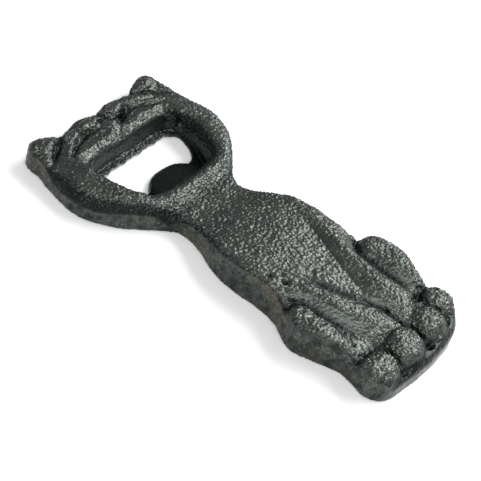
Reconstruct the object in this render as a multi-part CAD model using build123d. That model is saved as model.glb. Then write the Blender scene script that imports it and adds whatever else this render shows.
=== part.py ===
from build123d import *

import os
from math import radians, tan

# Seated-cat bottle opener: one iron sand casting, flat back on z = 0.
# Frame: millimetres. X across the cat, +Y from its feet to its ears, +Z out of its chest.
# Origin: the middle of the flat back's bounding box.

NODE = "cat_casting"

# ---- overall size
LENGTH = 133.4
FOOT_Y = -LENGTH / 2
EAR_Y = LENGTH / 2
RING_HALF_W = 31.7
HAUNCH_HALF_W = 24.0
NECK_HALF_W = 13.4
DRAFT_DEG = 3.0          # the mould's draft on every outer wall
TOP_ROUND = 1.6          # rounding of the outer top edge
BULGE = 1.7              # how much further the right haunch stands out than the left

# ---- heights above the flat back
PLINTH_H = 6.6           # the step under the paws
LEGS_H = 8.6             # valleys between the legs and haunches
CHEST_H = 9.6
NECK_H = 6.6
JAW_H = 8.8
JAW_Y = 20.5             # where the jaw steps up from the neck
BROW_H = 7.4
BLOCK_H = 16.0           # height of the raw block, above anything in the casting

# ---- mouth (the opening that takes the crown cap)
MOUTH_HALF_W = 19.6
MOUTH_BACK_Y = 31.4      # lower edge of the opening in the flat back, either side of the tongue
MOUTH_FRONT_Y = 25.6     # lower edge of the well over the tongue, under the jaw
LIP_Y = 48.9             # the straight upper lip
LEDGE_Y = 46.4           # edge of the thin shelf at the foot of the lip wall
LEDGE_H = 1.3

# ---- tongue (hooks under the rim of the cap)
TONGUE_X = 1.3           # it sits a little right of the middle
TONGUE_HALF_W = 11.0
TONGUE_TIP_Y = 35.7
TONGUE_ROOT_Y = 24.0
TONGUE_H = 3.0
TONGUE_ROUND = 1.2

# ---- relief: each lump is x, y, height of its top, half-sizes along x, y and z, turn about z
FRONT_LEG = (11.0, -29.5, 11.2, 4.2, 27.0, 5.4, -9.0)
LEFT_HAUNCH = (-18.6, -37.0, 10.8, 4.3, 11.6, 5.2, -1.0)
RIGHT_HAUNCH = (19.4, -37.0, 10.8, 4.3, 11.6, 5.2, 1.0)
PAWS = (
    (-15.4, -56.8, 10.1, 5.0, 5.2, 4.9),
    (-3.8, -57.6, 11.0, 5.2, 5.6, 5.4),
    (8.4, -57.8, 10.8, 4.8, 5.5, 5.3),
    (17.4, -56.6, 10.1, 4.4, 5.0, 4.8),
)
EAR = (22.8, 60.8, 8.3, 5.4, 3.4, 4.0, 30.0)
EYE = (5.6, 59.6, 8.7, 4.4, 2.9, 3.0)
BROW = (15.4, 57.4, 8.6, 6.8, 2.2, 3.0, -25.0)
CHEEK = (10.4, 51.8, 9.2, 9.4, 2.7, 3.2, 2.0)
NOSE = (0.0, 56.0, 9.0, 3.2, 3.4, 3.6)

PAST = 2.0               # how far the side profile and the cutters run past the casting


def ellipsoid(x, y, top, rx, ry, rz, turn=0.0):
    """Rounded lump of half-sizes rx, ry, rz whose highest point is at z = top."""
    lump = scale(Sphere(1), by=(rx, ry, rz))
    return Pos(x, y, top - rz) * Rot(0, 0, turn) * lump


def mirrored(lump):
    """The lump and its twin across the cat's middle plane."""
    return [lump, mirror(lump, about=Plane.YZ)]


def right_side():
    """Right half of the outline on the flat back, from the feet up to the brow."""
    return [
        (0.0, FOOT_Y),
        (9.0, FOOT_Y),
        (14.6, FOOT_Y + 0.6),
        (19.6, FOOT_Y + 2.8),
        (22.4, FOOT_Y + 7.2),
        (22.2, FOOT_Y + 12.2),
        (21.3, FOOT_Y + 15.8),
        (22.4, FOOT_Y + 21.0),
        (25.0, FOOT_Y + 26.4),
        (HAUNCH_HALF_W + BULGE, FOOT_Y + 32.4),
        (23.8, FOOT_Y + 37.6),
        (20.2, FOOT_Y + 41.6),
        (19.2, FOOT_Y + 49.5),
        (19.5, -9.8),
        (18.5, -1.6),
        (14.6, 6.2),
        (NECK_HALF_W - 0.6, 13.2),
        (16.8, 18.8),
        (26.2, 28.0),
        (30.8, 36.0),
        (RING_HALF_W, 43.0),
        (30.5, 51.5),
        (29.0, 58.0),
        (28.4, 63.0),
        (24.6, EAR_Y),
        (19.6, 64.9),
        (14.8, 63.3),
        (6.6, 64.6),
        (0.0, 63.2),
    ]


def left_side():
    """Left half of the outline, from the brow down to the feet, slimmer than the right."""
    return [
        (-6.6, 64.6),
        (-14.8, 63.3),
        (-19.6, 64.9),
        (-24.6, EAR_Y),
        (-28.6, 63.0),
        (-29.2, 58.0),
        (-30.5, 51.5),
        (-RING_HALF_W, 43.0),
        (-30.4, 36.0),
        (-25.8, 28.0),
        (-16.4, 18.2),
        (-NECK_HALF_W - 0.4, 13.6),
        (-15.0, 6.2),
        (-18.2, -1.6),
        (-19.3, -9.8),
        (-19.0, FOOT_Y + 49.5),
        (-19.9, FOOT_Y + 42.0),
        (-22.2, FOOT_Y + 38.0),
        (-HAUNCH_HALF_W, FOOT_Y + 32.8),
        (-22.4, FOOT_Y + 25.6),
        (-20.4, FOOT_Y + 18.0),
        (-20.8, FOOT_Y + 13.0),
        (-21.4, FOOT_Y + 8.0),
        (-17.6, FOOT_Y + 3.2),
        (-9.0, FOOT_Y + 1.2),
    ]


def outline(inset, z):
    """Closed outline at height z, drawn in from the one on the flat back by inset."""
    points = [Vector(x, y) for x, y in right_side() + left_side()]
    moved = []
    for i, point in enumerate(points):
        along = (points[(i + 1) % len(points)] - points[i - 1]).normalized()
        inward = Vector(-along.Y, along.X)
        moved.append(point + inward * inset + Vector(0, 0, z))
    return Face(Wire([Edge.make_spline(moved, periodic=True)]))


def side_profile():
    """Height of the casting along its length, seen from the side, as a prism across X."""
    low, high = FOOT_Y - PAST, EAR_Y + PAST
    body = [
        (low, PLINTH_H - 0.6),
        (FOOT_Y + 4, PLINTH_H + 0.6),
        (FOOT_Y + 12, LEGS_H),
        (-30, CHEST_H - 0.6),
        (-8, CHEST_H),
        (3, NECK_H + 1.5),
        (13, NECK_H),
        (JAW_Y, JAW_H),
    ]
    brow = [(LIP_Y + 3, JAW_H), (58, BROW_H + 0.3), (high, BROW_H - 0.8)]
    with BuildSketch(Plane.YZ) as sketch:
        with BuildLine():
            Spline(*body, tangents=((1, 0.1), (1, 0)))
            Line(body[-1], brow[0])
            Spline(*brow, tangents=((1, 0), (1, -0.4)))
            Polyline(brow[-1], (high, -1), (low, -1), body[0])
        make_face()
    return extrude(sketch.sketch, amount=RING_HALF_W + PAST, both=True)


def drafted_block():
    """Tall block with the cat's outline, its wall leaning in by the mould's draft."""
    inset = BLOCK_H * tan(radians(DRAFT_DEG))
    return loft([outline(0, 0), outline(inset, BLOCK_H)], ruled=True)


def blank():
    """The block cut to its height along the length, its top edge rounded."""
    block = drafted_block() & side_profile()
    rim = [edge for edge in block.edges() if edge.center().Z > PLINTH_H / 2 and edge.length > 1]
    return fillet(rim, TOP_ROUND)


def mouth_face(side, lip_y, z, grow=0.0):
    """Mouth outline at height z: straight lip, then the side points, mirrored, and a straight base."""
    corner = Vector(side[0][0] - 3.6 + grow, lip_y + grow, z)
    base = Vector(side[-1][0] - 3.0 + grow, side[-1][1] - grow, z)
    middle = [Vector(x + grow, y, z) for x, y in side]
    middle[-1] += Vector(0, -grow, 0)
    side_edge = Edge.make_spline([corner, *middle, base], tangents=(Vector(1, 0), Vector(-1, 0)))
    edges = [
        side_edge,
        Edge.make_line(base, Vector(-base.X, base.Y, z)),
        mirror(side_edge, about=Plane.YZ).edge(),
        Edge.make_line(Vector(-corner.X, corner.Y, z), corner),
    ]
    return -Face(Wire(edges))


def mouth_cutters():
    """Cutters for the mouth: the opening in the flat back, and the wider drafted well above its ledge."""
    at_back = [(MOUTH_HALF_W - 0.8, 42.0), (MOUTH_HALF_W - 2.0, 37.0), (15.4, 33.2), (12.0, MOUTH_BACK_Y)]
    at_front = [(MOUTH_HALF_W + 0.4, 43.6), (MOUTH_HALF_W - 0.4, 37.4), (16.8, 31.0), (12.8, MOUTH_FRONT_Y)]
    opening = extrude(mouth_face(at_back, LEDGE_Y, -PAST), amount=LEDGE_H + 2 * PAST, dir=(0, 0, 1))
    well = loft(
        [
            mouth_face(at_front, LIP_Y, LEDGE_H, -0.3),
            mouth_face(at_front, LIP_Y, BLOCK_H, 1.4),
        ],
        ruled=True,
    )
    return [opening, well]


def tongue():
    """Flat lobe reaching into the mouth from under the jaw, its upper edge rounded."""
    with BuildSketch() as sketch:
        with Locations((TONGUE_X, TONGUE_ROOT_Y)):
            Ellipse(TONGUE_HALF_W, TONGUE_TIP_Y - TONGUE_ROOT_Y)
    lobe = extrude(sketch.sketch, amount=TONGUE_H)
    rim = lobe.edges().group_by(Axis.Z)[-1]
    return fillet(rim, TONGUE_ROUND)


def body_relief():
    """Front legs, haunches and paws standing out of the body."""
    alone = [LEFT_HAUNCH, RIGHT_HAUNCH, *PAWS]
    return mirrored(ellipsoid(*FRONT_LEG)) + [ellipsoid(*lump) for lump in alone]


def face_relief():
    """Ears, eyes, brows and cheeks in pairs, and the nose."""
    lumps = [ellipsoid(*NOSE)]
    for pair in (EAR, EYE, BROW, CHEEK):
        lumps += mirrored(ellipsoid(*pair))
    return lumps


def cat():
    """The whole casting: blank and relief, then the mouth cut through, then the tongue."""
    casting = blank().fuse(*body_relief(), *face_relief())
    for cutter in mouth_cutters():
        casting = casting - cutter
    return (casting + tongue()).clean()


def main():
    os.makedirs("parts", exist_ok=True)
    casting = cat()
    casting.label = NODE
    export_step(casting, f"parts/{NODE}.step")


main()
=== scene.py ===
"""Looks of the seated-cat bottle opener: one rough iron sand casting with a flat back.

The casting's skin is built as a distance field in millimetres, in the CAD's own frame
(+Y from feet to ears, +Z out of the chest), turned into a mesh and given a sand-cast surface.
"""
import math

import bpy
import numpy as np
import openvdb
from mathutils import Matrix, Vector, noise


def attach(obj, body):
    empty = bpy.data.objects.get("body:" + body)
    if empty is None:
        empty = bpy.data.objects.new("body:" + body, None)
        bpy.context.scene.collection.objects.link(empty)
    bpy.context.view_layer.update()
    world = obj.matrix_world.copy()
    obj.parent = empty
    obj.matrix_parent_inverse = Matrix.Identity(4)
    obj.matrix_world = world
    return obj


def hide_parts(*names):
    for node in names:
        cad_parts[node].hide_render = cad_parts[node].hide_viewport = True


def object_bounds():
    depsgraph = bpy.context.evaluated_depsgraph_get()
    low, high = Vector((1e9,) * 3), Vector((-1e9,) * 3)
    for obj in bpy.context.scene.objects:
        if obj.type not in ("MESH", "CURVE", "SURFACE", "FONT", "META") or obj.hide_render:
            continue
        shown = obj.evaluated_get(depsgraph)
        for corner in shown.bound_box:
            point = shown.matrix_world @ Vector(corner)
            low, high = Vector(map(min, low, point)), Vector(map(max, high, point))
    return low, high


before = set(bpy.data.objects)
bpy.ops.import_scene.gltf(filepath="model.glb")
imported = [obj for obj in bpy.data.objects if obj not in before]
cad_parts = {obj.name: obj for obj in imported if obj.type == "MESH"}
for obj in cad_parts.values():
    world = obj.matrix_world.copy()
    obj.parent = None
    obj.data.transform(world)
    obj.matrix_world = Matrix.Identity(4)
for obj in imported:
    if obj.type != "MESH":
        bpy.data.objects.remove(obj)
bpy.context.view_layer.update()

MM = 0.001
NODE = "cat_casting"
GRID = 0.30              # spacing of the distance field
MARGIN = 2.0             # empty border round the field
SEED = Vector((3.7, 11.3, 5.1))

# ---- wavelengths of the sand-cast skin
FINE_MM = 0.8
PEBBLE_MM = 1.04
WARP_MM = 1.6            # bends the pebbles out of round
KNOB_MM = 2.1            # lumps on the paws and haunches
SWELL_MM = 4.5

# ---- driving sizes, in millimetres and in the CAD's frame
FOOT_Y = -67.0
EAR_Y = 66.5
RING_HALF_W = 31.7
HAUNCH_HALF_W = 24.0
NECK_HALF_W = 13.4
DRAFT = math.tan(math.radians(3.0))
LIP_Y = 48.8
LEDGE_Y = 45.5
LEDGE_H = 1.3
EDGE_ROUND = 0.35        # of the ledge
TONGUE_HALF_W = 11.0
TONGUE_TIP_Y = 35.7
TONGUE_ROOT_Y = 25.0
TONGUE_H = 3.0
TONGUE_X = 1.3
TONGUE_ROUND = 1.2
JAW_Y = 20.5
TOP_Z = 12.6             # above every lump of the relief

# ---- outline on the flat back: up the right side, then down the left, which is slimmer
RIGHT_SIDE = [
    (0.0, FOOT_Y + 0.1), (9.0, FOOT_Y - 0.1), (14.6, FOOT_Y + 0.5), (19.6, FOOT_Y + 2.8),
    (22.5, FOOT_Y + 7.2), (22.4, FOOT_Y + 12.2), (21.3, FOOT_Y + 15.8), (22.4, FOOT_Y + 21.0),
    (25.0, FOOT_Y + 26.4), (HAUNCH_HALF_W + 1.9, FOOT_Y + 32.4), (24.0, FOOT_Y + 37.8),
    (19.9, FOOT_Y + 41.4), (19.2, FOOT_Y + 49.5), (19.6, -9.8), (18.6, -1.6), (14.6, 6.2),
    (NECK_HALF_W - 0.6, 13.2), (16.8, 18.8), (26.6, 28.0), (31.2, 36.0), (RING_HALF_W - 0.2, 43.0),
    (30.1, 51.5), (29.1, 58.0), (28.2, 63.0), (26.4, EAR_Y - 0.9), (24.0, EAR_Y), (19.6, 65.0),
    (14.8, 63.2), (6.6, 64.5),
]
LEFT_SIDE = [
    (0.0, 63.2), (-6.6, 64.5), (-14.8, 63.2), (-19.6, 65.0), (-24.4, EAR_Y), (-26.8, EAR_Y - 0.9),
    (-28.4, 63.0), (-28.9, 58.0), (-30.5, 51.5), (-RING_HALF_W, 43.0), (-30.4, 36.0), (-25.6, 28.0),
    (-16.2, 18.2), (-NECK_HALF_W, 13.6), (-14.6, 6.2), (-17.7, -1.6), (-19.0, -9.8),
    (-18.7, FOOT_Y + 49.5), (-19.3, FOOT_Y + 42.0), (-21.5, FOOT_Y + 38.0),
    (0.3 - HAUNCH_HALF_W, FOOT_Y + 32.8), (-22.1, FOOT_Y + 25.6), (-19.8, FOOT_Y + 18.0),
    (-20.4, FOOT_Y + 13.0), (-21.2, FOOT_Y + 8.0), (-17.6, FOOT_Y + 3.2), (-9.0, FOOT_Y + 1.3),
]

# ---- the mouth where it opens in the flat back, and the wider well in front of its ledge
MOUTH_BACK = [
    (-12.0, 31.6), (-15.4, 33.2), (-17.6, 37.0), (-18.8, 42.0), (-16.0, LEDGE_Y - 0.4),
    (-12.0, LEDGE_Y), (0.0, LEDGE_Y), (12.0, LEDGE_Y), (16.0, LEDGE_Y - 0.4), (18.8, 42.0),
    (17.4, 37.0), (14.8, 33.4), (11.2, 32.0), (0.0, 31.4),
]
MOUTH_FRONT = [
    (-12.2, 26.2), (-16.2, 31.0), (-18.4, 37.6), (-19.3, 44.0), (-17.6, LIP_Y - 1.2),
    (-13.0, LIP_Y), (0.0, LIP_Y), (13.0, LIP_Y), (17.6, LIP_Y - 1.2), (19.3, 44.0),
    (18.8, 37.6), (16.4, 30.8), (12.4, 26.0), (0.0, 25.2),
]

# ---- heights along the length: y, height above the flat back
CHEST_PROFILE = [
    (-67, 6.2), (-63.6, 6.6), (-62.0, 6.9), (-59, 7.2), (-54, 8.0), (-47, 8.6), (-40, 9.2),
    (-30, 9.8), (-12, 10.5), (-4, 10.2), (3, 8.9), (9, 7.1), (14, 6.3), (JAW_Y - 2.4, 6.2),
]
LEG_CREST_PROFILE = [
    (-58, 8.0), (-54, 9.6), (-48, 11.0), (-38, 11.6), (-26, 11.8), (-14, 11.5), (-6, 10.9), (4, 9.6),
]
LEG_VALLEY_PROFILE = [(-58, 7.6), (-50, 8.3), (-30, 8.9), (-24, 9.8), (-14, 10.8), (-4, 10.4), (4, 9.4)]
HEAD_PROFILE = [
    (JAW_Y - 3.2, 6.0), (JAW_Y + 0.2, 9.5), (24, 9.5), (44, 9.3), (48, 8.6), (56, 7.5), (60, 7.4),
    (63, 7.0), (67, 6.6),
]
LIP_PROFILE = [(40, 6.2), (49.0, 6.3), (50.4, 7.2), (52.0, 8.4), (53.0, 8.6), (54.6, 7.2), (58, 7.0)]
EDGE_ROUND_PROFILE = [
    (-67, 1.0), (-55, 1.1), (-50, 1.4), (-36, 1.2), (-28, 1.6), (-20, 2.4), (-4, 2.8), (16, 2.6),
    (28, 3.0), (46, 3.0), (54, 2.0), (59, 1.2), (67, 1.0),
]

# ---- body: where the left leg leaves the chest, and the line under the paws
V_FOLD = [(-10.2, -19.0), (-6.6, -28.0), (-3.6, -36.0), (-1.0, -43.0)]
UNDER_PAWS = [
    (-22.5, -61.0), (-17.6, -62.2), (-10.8, -63.3), (-4.4, -63.9), (3.3, -64.0), (8.5, -63.8),
    (13.4, -63.4), (19.0, -61.4),
]
BODY_CREASES = (         # line, width, depth
    ([(23.6, -26.6), (19.8, -26.7), (16.4, -27.6), (14.6, -29.4)], 0.9, 1.3),
    ([(-24.0, -27.2), (-20.6, -27.4), (-17.0, -27.8), (-15.0, -29.4)], 1.1, 0.8),
    ([(-22.5, -51.6), (-16.5, -52.5), (-10.0, -52.9), (-4.0, -53.4)], 1.4, 0.7),
    ([(8.0, -53.0), (12.0, -52.4), (16.0, -51.8), (22.5, -51.0)], 1.4, 1.2),
    ([(0.2, -41.0), (1.6, -46.0), (2.2, -52.0), (2.0, -57.0)], 1.2, 0.8),
)
PAWS = (                 # x, y, height, half-sizes along x and y
    (-17.2, -57.8, 9.9, 6.6, 4.7),
    (-3.8, -58.4, 10.5, 5.6, 4.9),
    (9.0, -58.8, 10.3, 4.9, 4.8),
    (18.2, -57.0, 10.0, 4.3, 4.4),
)
PAW_GAPS = ((-10.0, -59.4), (3.0, -59.8), (14.0, -59.2))

# ---- face
FACE_DOMES = (           # x, y, foot and top heights, half-sizes, turn, flatness
    (-6.4, 59.4, 7.0, 9.3, 4.4, 2.5, -6.0, 4.0),
    (5.0, 59.3, 7.0, 9.4, 4.6, 2.6, 4.0, 4.0),
    (-14.0, 59.3, 6.8, 8.6, 5.0, 2.0, 22.0, 3.0),
    (15.4, 58.9, 6.8, 8.5, 6.4, 1.9, -22.0, 3.0),
)
CHEEKS = (               # x, y, height, half-sizes, drop, turn
    (18.6, 54.8, 8.4, 6.5, 1.7, 1.2, -32.0),
    (-19.0, 55.2, 8.3, 5.5, 1.6, 1.2, 32.0),
)
EARS = ((22.6, 62.0, 8.9, 5.8, 3.2, 1.6, 20.0), (-23.0, 61.9, 8.8, 5.8, 3.2, 1.6, -20.0))
EAR_FOLD = [(15.6, 62.8), (18.6, 60.0), (23.0, 57.6), (27.6, 54.2)]
FACE_CREASES = (         # line, width, depth
    ([(-8.6, 57.6), (-11.4, 57.0), (-15.5, 55.8), (-19.6, 53.6), (-21.6, 51.4)], 1.0, 1.4),
    ([(3.2, 54.8), (5.4, 56.4), (8.2, 57.4), (10.4, 57.6)], 1.2, 2.4),
    ([(8.6, 57.0), (12.0, 56.8), (16.5, 54.6), (20.4, 52.0)], 0.7, 0.8),
    (
        [(-8.0, 57.4), (-5.6, 57.2), (-3.4, 58.4), (-1.0, 59.4), (1.4, 59.0), (2.8, 57.2), (3.2, 55.2)],
        0.55, 1.2,
    ),
    ([(0.0, 63.6), (0.0, 61.8), (0.2, 60.0)], 0.9, 0.7),
    ([(-11.6, 62.0), (-10.8, 60.0), (-10.4, 57.6)], 1.0, 0.8),
    ([(11.4, 62.0), (10.8, 60.0), (10.2, 57.8)], 1.0, 0.7),
)

# ---- blow-holes and tool marks: x, y, radius, depth
PITS = (
    (-13.9, -22.4, 0.95, 1.7), (-15.4, -17.6, 0.8, 1.2), (-13.0, -20.2, 0.6, 0.8),
    (-10.8, -63.1, 0.8, 0.9), (3.3, -63.7, 0.9, 1.2), (8.1, -63.4, 0.8, 1.1),
    (-18.4, -61.6, 1.2, 0.9), (-19.5, -45.8, 0.7, 0.6), (-15.4, -48.2, 0.6, 0.5),
    (-26.2, 61.9, 0.5, 0.7), (2.4, -48.1, 0.7, 0.9), (2.1, -54.0, 0.9, 0.9),
    (14.9, -52.4, 1.4, 0.7), (-16.2, -52.6, 1.0, 0.7), (-4.6, 54.2, 0.6, 0.6),
)


# ---------------------------------------------------------------- flat geometry

def rounded(points, steps=10):
    """Smooth closed line through the points."""
    p = np.array(points, float)
    before, after, beyond = np.roll(p, 1, 0), np.roll(p, -1, 0), np.roll(p, -2, 0)
    t = np.linspace(0, 1, steps, endpoint=False)[None, :, None]
    a = p[:, None]
    b = (after - before)[:, None] / 2
    c = after[:, None]
    d = (beyond - p)[:, None] / 2
    line = (2 * t**3 - 3 * t**2 + 1) * a + (t**3 - 2 * t**2 + t) * b
    line += (3 * t**2 - 2 * t**3) * c + (t**3 - t**2) * d
    return line.reshape(-1, 2)


def inside_distance(x, y, line):
    """Distance from each point to a closed line, positive inside it."""
    best = np.full(x.shape, 1e9)
    winding = np.zeros(x.shape, bool)
    for (ax, ay), (bx, by) in zip(line, np.roll(line, -1, 0)):
        ex, ey = bx - ax, by - ay
        t = np.clip(((x - ax) * ex + (y - ay) * ey) / (ex * ex + ey * ey), 0, 1)
        best = np.minimum(best, (x - ax - t * ex) ** 2 + (y - ay - t * ey) ** 2)
        crosses = (ay > y) != (by > y)
        if ay != by:
            winding ^= crosses & (x < ax + (y - ay) / (by - ay) * ex)
    return np.where(winding, 1, -1) * np.sqrt(best)


def line_distance(x, y, points):
    """Distance from each point to an open line, and how far along it (0 to 1) the nearest point is."""
    best = np.full(x.shape, 1e9)
    along = np.zeros(x.shape)
    runs = len(points) - 1
    for i in range(runs):
        (ax, ay), (bx, by) = points[i], points[i + 1]
        ex, ey = bx - ax, by - ay
        t = np.clip(((x - ax) * ex + (y - ay) * ey) / (ex * ex + ey * ey), 0, 1)
        gap = np.hypot(x - ax - t * ex, y - ay - t * ey)
        along = np.where(gap < best, (i + t) / runs, along)
        best = np.minimum(best, gap)
    return best, along


def smooth_max(a, b, radius):
    """The larger of two fields, blended over radius where they cross."""
    h = np.clip(0.5 + 0.5 * (a - b) / radius, 0, 1)
    return b + (a - b) * h + radius * h * (1 - h)


def smooth_min(a, b, radius):
    return -smooth_max(-a, -b, radius)


def round_meet(a, b, radius):
    """Where both fields are inside, with the edge between them rounded to radius."""
    a = a + radius
    b = b + radius
    return np.minimum(np.maximum(a, b), 0) + np.hypot(np.maximum(a, 0), np.maximum(b, 0)) - radius


def ramp(value, low, high):
    """0 below low, 1 above high, smooth between."""
    t = np.clip((value - low) / (high - low), 0, 1)
    return t * t * (3 - 2 * t)


def profile(y, points):
    """Height along the length, smoothed between the points given."""
    ys, hs = zip(*points)
    spread = np.linspace(-1.6, 1.6, 9)
    return sum(np.interp(y + s, ys, hs) for s in spread) / len(spread)


# ---------------------------------------------------------------- heights of the relief

def lump(x, y, cx, cy, top, rx, ry, drop, turn=0.0):
    """Mound whose height falls by drop from its top to the edge of an ellipse."""
    c, s = math.cos(math.radians(turn)), math.sin(math.radians(turn))
    u = ((x - cx) * c + (y - cy) * s) / rx
    v = ((y - cy) * c - (x - cx) * s) / ry
    return top - drop * (u * u + v * v)


def dome(x, y, cx, cy, low, top, rx, ry, turn=0.0, flat=2.3, fall=0.6):
    """Rounded mound with a clear foot: from low at the edge of an ellipse up to top."""
    c, s = math.cos(math.radians(turn)), math.sin(math.radians(turn))
    u = ((x - cx) * c + (y - cy) * s) / rx
    v = ((y - cy) * c - (x - cx) * s) / ry
    reach = np.hypot(u, v)
    inside = low + (top - low) * np.clip(1 - reach**flat, 0, 1) ** fall
    return inside - 6 * np.maximum(reach - 1, 0)


def crease(x, y, points, width, depth):
    """Groove of rounded section along a line, shallower at its ends."""
    gap, along = line_distance(x, y, points)
    return depth * np.exp(-(gap / width) ** 2) * (0.45 + 0.55 * np.sin(np.pi * along))


def leg_relief(x, y, panel):
    """Front legs: ridges that leave a V of chest between them and meet in a groove above the paws."""
    middle = np.interp(y, [-60, -48, -40, -30], [2.2, 1.8, 0.2, -0.4])
    ax = np.abs(x - middle)
    edge = np.clip(0.37 * (y + 44.5), 0.15, 13.5)
    crest = np.interp(y, [-54, -48, -38, -26, -12, -2], [6.4, 7.2, 9.2, 11.0, 14.8, 16.2])
    valley = np.interp(y, [-54, -40, -30, -25, -20], [12.8, 13.8, 14.8, 18.0, 23.0])
    crest_h = profile(y, LEG_CREST_PROFILE)
    valley_h = profile(y, LEG_VALLEY_PROFILE)
    inner = np.clip((crest - ax) / np.maximum(crest - edge, 0.5), 0, 1)
    outer = np.clip((ax - crest) / (valley - crest), 0, 1)
    swell = np.where(x > middle, 1.5, 3.2)
    to_chest = panel + (crest_h - panel) * (1 - inner**swell)
    to_haunch = valley_h + (crest_h - valley_h) * (1 - outer**1.6) ** 1.2
    leg = np.where(ax < crest, to_chest, to_haunch)
    fold = line_distance(x, y, V_FOLD)[0]
    leg -= 0.85 * np.exp(-(fold / 1.9) ** 2) * ramp(-y, 20, 30)
    return panel + (leg - panel) * ramp(y, -58, -52) * ramp(-y, 0, 14)


def body_height(x, y):
    """Neck, chest, front legs, haunches and paws."""
    ax = np.abs(x)
    height = leg_relief(x, y, profile(y, CHEST_PROFILE))
    thigh = np.where(x > 0, 20.8, 20.6)
    haunch = dome(ax, y, thigh, -39.6, 8.4, 11.2, 6.4, 12.4, 1.0, 2.2, 0.7)
    haunch = smooth_max(haunch, dome(ax, y, thigh - 0.6, -32.6, 8.4, 10.9, 5.6, 5.4), 0.6)
    height = smooth_max(height, haunch, 0.5)
    for line, width, depth in BODY_CREASES:
        height -= crease(x, y, line, width, depth)
    for cx, cy, top, rx, ry in PAWS:
        height = smooth_max(height, dome(x, y, cx, cy, 8.7, top, rx, ry, 0.0, 3.4, 0.7), 0.9)
    for cx, cy in PAW_GAPS:
        height -= crease(x, y, [(cx, cy + 4.0), (cx, cy), (cx - 0.2, cy - 3.6)], 0.9, 0.8)
    below = line_distance(x, y, UNDER_PAWS)[0]
    return np.where(y < -60, height - 0.6 * np.exp(-(below / 0.9) ** 2), height)


def head_height(x, y):
    """Jaw, ring, upper lip, nose, brows and ears."""
    ax = np.abs(x)
    height = profile(y, HEAD_PROFILE)
    ring = ramp(y, 22, 30) * ramp(-y, -56, -50)
    height += (0.5 * ramp(-ax, -25, -22) - 1.2 * ramp(ax, 24.5, 31.0)) * ring
    across = ramp(-ax, -21.5, -18.5) * ramp(y, 44, 46) * ramp(-y, -55.5, -54)
    height += (profile(y, LIP_PROFILE) - height) * across
    height -= 1.2 * np.exp(-((x + 1.0) / 1.7) ** 2) * ramp(y, 49.0, 50.5) * ramp(-y, -54, -52.6)
    height = smooth_max(height, lump(x, y, -0.6, 55.6, 8.6, 3.4, 3.4, 1.7), 0.5)
    for shape in FACE_DOMES:
        height = smooth_max(height, dome(x, y, *shape, 0.6), 0.4)
    for shape in CHEEKS:
        height = smooth_max(height, lump(x, y, *shape), 0.4)
    for shape in EARS:
        height = smooth_max(height, lump(x, y, *shape), 0.6)
    height -= crease(ax, y, EAR_FOLD, 1.2, 1.9)
    for line, width, depth in FACE_CREASES:
        height -= crease(x, y, line, width, depth)
    return height


def relief(x, y):
    """Height of the casting's front over the whole plan."""
    head = ramp(y, JAW_Y - 3.4, JAW_Y - 2.2)
    height = body_height(x, y) * (1 - head) + head_height(x, y) * head
    for cx, cy, radius, depth in PITS:
        height -= depth * np.exp(-((x - cx) ** 2 + (y - cy) ** 2) / radius**2)
    return height


def edge_round(x, y):
    """Radius of the casting's outer front edge, which differs along the outline."""
    radius = profile(y, EDGE_ROUND_PROFILE)
    foot = ramp(-y, 61.0, 63.5) * ramp(-np.abs(x - 1), -21.0, -17.5)
    ring = ramp(-x, 8, 14) * ramp(y, 15, 20) * ramp(-y, -56, -50)
    waist = ramp(-x, 8, 14) * ramp(y, -28, -20) * ramp(-y, -18, -12)
    return radius + 1.9 * foot + 1.2 * ring - 1.1 * waist


# ---------------------------------------------------------------- the distance field

def cast_field():
    """Distance field of the casting on a regular grid, negative inside, with the grid's corner."""
    xs = np.arange(-RING_HALF_W - MARGIN, RING_HALF_W + MARGIN, GRID)
    ys = np.arange(FOOT_Y - MARGIN, EAR_Y + MARGIN, GRID)
    zs = np.arange(-MARGIN, TOP_Z + MARGIN, GRID)
    x, y = np.meshgrid(xs, ys, indexing="ij")
    outline = inside_distance(x, y, rounded(RIGHT_SIDE + LEFT_SIDE))
    ragged = 0.35 * np.sin(1.3 * x + 1.0) * np.sin(0.47 * x) * ramp(y, 42, 45)
    back = inside_distance(x, y, rounded(MOUTH_BACK)) + ragged
    front = inside_distance(x, y, rounded(MOUTH_FRONT))
    height = relief(x, y)
    slope_x, slope_y = np.gradient(height, GRID)
    steep = np.sqrt(1 + slope_x**2 + slope_y**2)
    radius = edge_round(x, y)
    rim = 4.2 - 3.4 * ramp(y, 43.5, 47.5)
    reach = TONGUE_TIP_Y - TONGUE_ROOT_Y
    tongue = (np.abs(x - TONGUE_X) / TONGUE_HALF_W) ** 2.6 + (np.abs(y - TONGUE_ROOT_Y) / reach) ** 2.2
    tongue = (tongue ** (1 / 2.4) - 1) * reach
    dome_h = TONGUE_H + 0.3 - 0.17 * (y - 30) - 0.008 * (x - TONGUE_X) ** 2

    z = zs[None, None, :]
    wall = z * DRAFT - outline[..., None]
    upper = round_meet((z - height[..., None]) / steep[..., None], wall, radius[..., None])
    lean = 0.06 + 0.32 * ramp(y, 45, 47.5)
    upper = round_meet(upper, front[..., None] + lean[..., None] * (z - 4), rim[..., None])
    shelf_edge = np.maximum(3.0 - outline, back)
    shelf = round_meet(z - LEDGE_H, shelf_edge[..., None], EDGE_ROUND)
    lobe = round_meet(z - dome_h[..., None], tongue[..., None] + 0.1 * z, TONGUE_ROUND)
    solid = smooth_min(smooth_min(upper, shelf, 0.4), lobe, 0.6)
    solid = round_meet(solid, -z + 0 * solid, 0.15)
    return solid.astype(np.float32), np.array([xs[0], ys[0], zs[0]])


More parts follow.
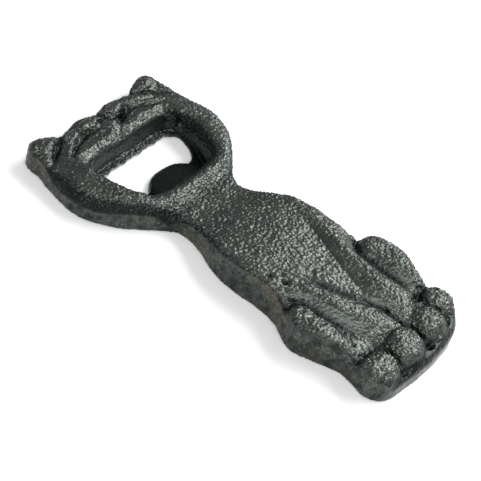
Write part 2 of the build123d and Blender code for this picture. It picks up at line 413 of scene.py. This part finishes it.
def polygonise(field, corner):
    """Vertices in millimetres and quads of the field's zero surface, facing outwards."""
    grid = openvdb.FloatGrid(background=float(field.max()))
    grid.copyFromArray(field)
    points, triangles, quads = grid.convertToPolygons(isovalue=0.0, adaptivity=0.0)
    return points * GRID + corner, triangles, quads


def quad_mesh(name, points, triangles, quads):
    mesh = bpy.data.meshes.new(name)
    faces = [tuple(f) for f in quads.tolist()] + [tuple(f) for f in triangles.tolist()]
    mesh.from_pydata((points * MM).tolist(), [], faces)
    mesh.validate()
    return mesh


def vertex_arrays(mesh):
    count = len(mesh.vertices)
    points = np.empty(count * 3, np.float32)
    normals = np.empty(count * 3, np.float32)
    mesh.vertices.foreach_get("co", points)
    mesh.vertices.foreach_get("normal", normals)
    return points.reshape(-1, 3).astype(float) / MM, normals.reshape(-1, 3).astype(float)


# ---------------------------------------------------------------- sand-cast skin

def noise_at(points, wavelength, shift):
    """Smooth noise, about -1 to 1, with bumps about one wavelength apart."""
    offset = SEED + Vector((shift, shift * 1.7, -shift))
    sample = noise.noise
    return np.array([sample(Vector(p) + offset) for p in (points / wavelength).tolist()])


def coarseness(points, normals):
    """How rough the sand left each place: 1 on the front, less on walls, in the mouth and on the back."""
    x, y, z = points.T
    up = np.maximum(ramp(normals[:, 2], 0.05, 0.40), 0.8 * ramp(z, 4.6, 6.4))
    rough = 0.80 + 0.20 * up
    legs = ramp(y, -52, -48) * ramp(-y, 8, 16) * ramp(z, 7.0, 8.5) * ramp(-np.abs(x - 1), -17.5, -15.5)
    rough *= 1 - 0.50 * legs * ramp(-normals[:, 2], -0.95, -0.86)
    fold = line_distance(x, y, V_FOLD)[0]
    rough *= 1 - 0.5 * ramp(-fold, -2.8, -1.0) * (z > 7)
    rough += 0.40 * ramp(-y, 53.5, 55) * ramp(z, 7.2, 8.4)
    rough += 0.35 * ramp(np.abs(x), 15.5, 18) * ramp(-y, 29, 33) * ramp(y, -53, -50) * up
    in_mouth = inside_distance(x, y, rounded(MOUTH_FRONT))
    rough *= 1 - 0.55 * ramp(in_mouth, -0.6, 0.6) * ramp(-y, -LEDGE_Y - 0.2, -LEDGE_Y + 2)
    lip_wall = ramp(-normals[:, 1], 0.5, 0.8) * ramp(y, 44, 46) * ramp(-y, -51, -50) * (z > LEDGE_H + 0.3)
    rough *= 1 - 0.75 * lip_wall
    rough += 0.4 * ramp(-z, -2.2, -1.6) * ramp(y, 45, 46) * ramp(in_mouth, -0.2, 0.2) * up
    rough *= 1 - 0.6 * ramp(-y, 61.8, 63.2) * ramp(-z, -7.9, -7.1)
    neck = ramp(y, -8, 2) * ramp(-y, -46, -42) * ramp(-x, -22, -14)
    rough += 0.20 * neck * up * (1 - ramp(in_mouth, -1.0, 0.0))
    return np.where(z < 0.2, 0.35, rough)


def grains_at(points, size, shift):
    """Rounded grains packed side by side, 1 on a grain and falling to 0 in the gaps between."""
    offset = SEED + Vector((shift, -shift, shift * 0.6))
    cells = noise.voronoi
    nearest = np.array([cells(Vector(p) + offset)[0][:2] for p in (points / size).tolist()])
    return np.clip((nearest[:, 1] - nearest[:, 0]) * 2.2, 0, 1) ** 0.6


def sand_skin(mesh):
    """Moves the vertices along their normals to leave the casting's pebbly surface."""
    points, normals = vertex_arrays(mesh)
    rough = coarseness(points, normals)
    warp = np.stack([noise_at(points, WARP_MM, s) for s in (31.0, 37.0, 41.0)], -1) * 0.45
    pebbles = grains_at(points + warp, PEBBLE_MM, 0.0) - 0.6
    fine = noise_at(points, FINE_MM, 7.0)
    swells = noise_at(points, SWELL_MM, 19.0)
    x, y, z = points.T
    chest = ramp(-y, 18, 28) * ramp(y, -46, -42) * ramp(-np.abs(x), -9, -5)
    lift = rough * ((0.33 - 0.15 * chest) * pebbles + (0.22 + 0.05 * chest) * fine) + 0.20 * swells
    feet = ramp(-y, 52.5, 54.5) * ramp(z, 6.8, 8.0)
    thighs = ramp(np.abs(x), 15.0, 17.5) * ramp(-y, 29, 32) * ramp(y, -53, -50) * ramp(z, 6.0, 7.5)
    lift += (0.34 * feet + 0.26 * thighs) * noise_at(points, KNOB_MM, 23.0)
    lift = np.where(normals[:, 2] < -0.8, 0.25 * np.minimum(lift, 0), lift)
    moved = points + normals * lift[:, None]
    mesh.vertices.foreach_set("co", (moved * MM).astype(np.float32).ravel())
    mesh.update()
    return points, normals, rough, pebbles


def add_attribute(mesh, name, values):
    layer = mesh.attributes.new(name, "FLOAT", "POINT")
    layer.data.foreach_set("value", values.astype(np.float32))


def hollow(points):
    """How sunk each place is below its neighbourhood, for the painted shade that darkens hollows and
    creases.
    """
    x, y, z = points.T
    turns = np.arange(0, 2 * math.pi, math.pi / 4)
    around = [(math.cos(turn) * r, math.sin(turn) * r) for r in (2.2, 4.0) for turn in turns]
    mean = sum(relief(x + dx, y + dy) for dx, dy in around) / len(around)
    return mean - np.minimum(z, relief(x, y))


def paint_masks(points, normals, rough, pebbles):
    """Where each colour goes, 0 to 1 at every vertex; some masks hold painted shade or painted light."""
    x, y, z = points.T
    in_mouth = inside_distance(x, y, rounded(MOUTH_FRONT))
    # lip wall facing the feet, and the ledge: lighter for wear and for painted light the wall would catch
    lip = ramp(-normals[:, 1], 0.78, 0.92) * ramp(y, 44.5, 45.5) * ramp(-y, -51, -49.8)
    ledge = 0.6 * ramp(in_mouth, -0.3, 0.3) * ramp(y, 44.2, 45.2) * (z > 0.3)
    return {
        "rough": rough,
        # gaps: painted shade in the gaps between the pebbles
        "gaps": ramp(-pebbles, -0.10, 0.50) * np.clip(rough, 0, 1),
        "worn_and_lit": np.maximum(lip, ledge),
        "wall": ramp(-normals[:, 2], -0.72, -0.3) * (in_mouth < -1.0),
        # hollow: painted shade, darker the deeper a place sinks below its neighbourhood
        "hollow": hollow(points) * ramp(normals[:, 2], 0.0, 0.5),
        # well: painted shade, near black inside the mouth round the tongue and on its inner walls
        "well": ramp(in_mouth, -4.0, 0.0) * ramp(-y, -44, -41) * ramp(-z, -9.0, -6.0),
    }


def casting():
    """The cat as one mesh piece that stands for the CAD casting."""
    field, corner = cast_field()
    mesh = quad_mesh("cat_skin", *polygonise(field, corner))
    for name, values in paint_masks(*sand_skin(mesh)).items():
        add_attribute(mesh, name, values)
    mesh.polygons.foreach_set("use_smooth", np.ones(len(mesh.polygons), bool))
    piece = bpy.data.objects.new("cat_skin", mesh)
    bpy.context.collection.objects.link(piece)
    print("cat_skin faces", len(mesh.polygons), "vertices", len(mesh.vertices))
    return piece


# ---------------------------------------------------------------- material

class Nodes:
    """Small helper that adds and links shader nodes."""

    def __init__(self, name):
        self.material = bpy.data.materials.new(name)
        self.material.use_nodes = True
        self.tree = self.material.node_tree
        self.shader = self.tree.nodes["Principled BSDF"]

    def add(self, kind, **settings):
        node = self.tree.nodes.new(kind)
        for key, value in settings.items():
            setattr(node, key, value)
        return node

    def link(self, source, target):
        self.tree.links.new(source, target)

    def attribute(self, name):
        return self.add("ShaderNodeAttribute", attribute_name=name).outputs["Fac"]

    def noise(self, coords, wavelength, detail=2.0, rough=0.55):
        node = self.add("ShaderNodeTexNoise")
        node.inputs["Scale"].default_value = 1 / (wavelength * MM)
        node.inputs["Detail"].default_value = detail
        node.inputs["Roughness"].default_value = rough
        self.link(coords, node.inputs["Vector"])
        return node.outputs["Fac"]

    def remap(self, value, low, high, to_low, to_high):
        node = self.add("ShaderNodeMapRange")
        self.link(value, node.inputs["Value"])
        for key, number in zip(("From Min", "From Max", "To Min", "To Max"), (low, high, to_low, to_high)):
            node.inputs[key].default_value = number
        return node.outputs["Result"]

    def math(self, operation, a, b):
        node = self.add("ShaderNodeMath", operation=operation)
        for socket, value in zip(node.inputs, (a, b)):
            if isinstance(value, (int, float)):
                socket.default_value = value
            else:
                self.link(value, socket)
        return node.outputs[0]

    def mix(self, factor, a, b):
        node = self.add("ShaderNodeMix", data_type="RGBA")
        self.link(factor, node.inputs["Factor"])
        for socket, value in zip((node.inputs["A"], node.inputs["B"]), (a, b)):
            if isinstance(value, tuple):
                socket.default_value = (*value, 1)
            else:
                self.link(value, socket)
        return node.outputs["Result"]


DARK_IRON = (0.050, 0.058, 0.053)
GREY_IRON = (0.088, 0.098, 0.090)
RUBBED_IRON = (0.168, 0.172, 0.157)
BROWN_IRON = (0.115, 0.098, 0.066)
# grime on the walls, and also painted shade in the gaps between pebbles
GRIME_AND_GAP_SHADE_BLACK = (0.015, 0.022, 0.019)
# pale bare iron: wear, and painted light on the lip wall
WORN_AND_LIT_IRON = (0.46, 0.48, 0.45)
# near black of the painted shade in hollows, creases and the mouth
HOLLOW_SHADE_BLACK = (0.006, 0.010, 0.010)
METALLIC = 0.85
GRAIN_MM = 0.62          # the finest grain, which is bump only
BUMP_MM = 0.16
FLOOR_WHITE = (0.92, 0.92, 0.92)


def iron_material():
    """Black-waxed iron: light on the grains, a little brown on the walls, painted shade near black in the
    hollows, in the mouth and between grains, and a painted light on the lip.
    """
    n = Nodes("cast_iron")
    coords = n.add("ShaderNodeTexCoord").outputs["Object"]
    rough = n.attribute("rough")
    wall = n.attribute("wall")
    grain = n.noise(coords, GRAIN_MM, detail=1.0, rough=0.5)
    patches = n.noise(coords, 9.0, detail=3.0)
    stains = n.noise(coords, 14.0, detail=2.0)
    blotches = n.noise(coords, 2.6, detail=3.0, rough=0.65)

    rubbed = n.remap(grain, 0.50, 0.74, 0.0, 1.0)
    rubbed = n.math("MULTIPLY", rubbed, n.remap(rough, 0.2, 1.2, 0.12, 1.0))
    grime = n.math("MULTIPLY", n.remap(blotches, 0.42, 0.60, 0.0, 0.85), wall)
    brown = n.math("MULTIPLY", n.remap(stains, 0.46, 0.64, 0.0, 0.5), n.remap(wall, 0.0, 1.0, 0.08, 1.0))
    # painted shade: near black in the hollows and creases, and in the mouth round the tongue
    sunk = n.remap(n.attribute("hollow"), 0.15, 1.1, 0.0, 0.86)
    black = n.math("MAXIMUM", sunk, n.remap(n.attribute("well"), 0.0, 1.0, 0.0, 0.95))

    colour = n.mix(n.remap(patches, 0.35, 0.68, 0.0, 1.0), DARK_IRON, GREY_IRON)
    colour = n.mix(rubbed, colour, RUBBED_IRON)
    # painted shade between the pebbles; the next line uses the same colour for grime blotches on the walls
    colour = n.mix(n.remap(n.attribute("gaps"), 0.0, 1.0, 0.0, 0.50), colour, GRIME_AND_GAP_SHADE_BLACK)
    colour = n.mix(grime, colour, GRIME_AND_GAP_SHADE_BLACK)
    colour = n.mix(brown, colour, BROWN_IRON)
    # lip wall and ledge: worn bare iron, partly painted light
    colour = n.mix(n.remap(n.attribute("worn_and_lit"), 0.0, 1.0, 0.0, 0.75), colour, WORN_AND_LIT_IRON)
    colour = n.mix(black, colour, HOLLOW_SHADE_BLACK)
    n.link(colour, n.shader.inputs["Base Color"])
    n.link(n.remap(grain, 0.3, 0.7, 0.37, 0.25), n.shader.inputs["Roughness"])
    n.shader.inputs["Metallic"].default_value = METALLIC

    bump = n.add("ShaderNodeBump")
    bump.inputs["Distance"].default_value = BUMP_MM * MM
    n.link(n.remap(rough, 0.1, 1.3, 0.15, 0.9), bump.inputs["Strength"])
    n.link(grain, bump.inputs["Height"])
    n.link(bump.outputs["Normal"], n.shader.inputs["Normal"])
    return n.material


def floor_material():
    n = Nodes("pale_floor")
    n.shader.inputs["Base Color"].default_value = (*FLOOR_WHITE, 1)
    n.shader.inputs["Roughness"].default_value = 0.9
    return n.material


# ---------------------------------------------------------------- stage

VIEW_AZIMUTH = 65.19     # degrees from -Y towards -X
VIEW_ELEVATION = 45.50
VIEW_ROLL = 17.76
VIEW_DISTANCE = 0.3264   # metres
VIEW_TARGET = Vector((-0.0013, 0.00056, 0.0))
FLOOR_HALF = 1.5
FLOOR_GAP = 0.0002       # between the floor and the casting's back
SKY_STRENGTH = 0.44
FIELD_OF_VIEW = math.radians(25.11267)


def add_camera():
    azimuth, elevation, roll = (math.radians(a) for a in (VIEW_AZIMUTH, VIEW_ELEVATION, VIEW_ROLL))
    flat = math.cos(elevation)
    back = Vector((-math.sin(azimuth) * flat, -math.cos(azimuth) * flat, math.sin(elevation)))
    right = Vector((math.cos(azimuth), -math.sin(azimuth), 0))
    up = back.cross(right)
    turned = Matrix((right, up, back)).transposed().to_4x4() @ Matrix.Rotation(roll, 4, "Z")
    data = bpy.data.cameras.new("camera")
    data.angle = FIELD_OF_VIEW
    data.clip_start = 0.01
    camera = bpy.data.objects.new("camera", data)
    camera.matrix_world = Matrix.Translation(VIEW_TARGET + back * VIEW_DISTANCE) @ turned
    bpy.context.collection.objects.link(camera)
    bpy.context.scene.camera = camera


def add_light(name, place, width, height, power):
    data = bpy.data.lights.new(name, "AREA")
    data.shape = "RECTANGLE"
    data.size = width
    data.size_y = height
    data.energy = power
    lamp = bpy.data.objects.new(name, data)
    lamp.location = place
    lamp.rotation_euler = (-Vector(place)).to_track_quat("-Z", "Y").to_euler()
    bpy.context.collection.objects.link(lamp)


def add_stage():
    mesh = bpy.data.meshes.new("floor")
    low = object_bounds()[0][2] - FLOOR_GAP
    corners = [(FLOOR_HALF * x, FLOOR_HALF * y, low) for x, y in ((-1, -1), (1, -1), (1, 1), (-1, 1))]
    mesh.from_pydata(corners, [], [(0, 1, 2, 3)])
    floor = bpy.data.objects.new("floor", mesh)
    floor.data.materials.append(floor_material())
    bpy.context.collection.objects.link(floor)
    world = bpy.data.worlds.new("studio")
    world.use_nodes = True
    world.node_tree.nodes["Background"].inputs["Color"].default_value = (1, 1, 1, 1)
    world.node_tree.nodes["Background"].inputs["Strength"].default_value = SKY_STRENGTH
    bpy.context.scene.world = world
    bpy.context.scene.view_settings.view_transform = "Standard"
    add_light("key", (0.62, -0.28, 0.62), 1.00, 0.50, 10.9)
    add_light("fill", (-0.66, -0.42, 0.90), 1.20, 0.95, 10.3)


def main():
    piece = casting()
    piece.data.materials.append(iron_material())
    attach(piece, "root")
    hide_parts(NODE)
    add_camera()
    add_stage()


main()
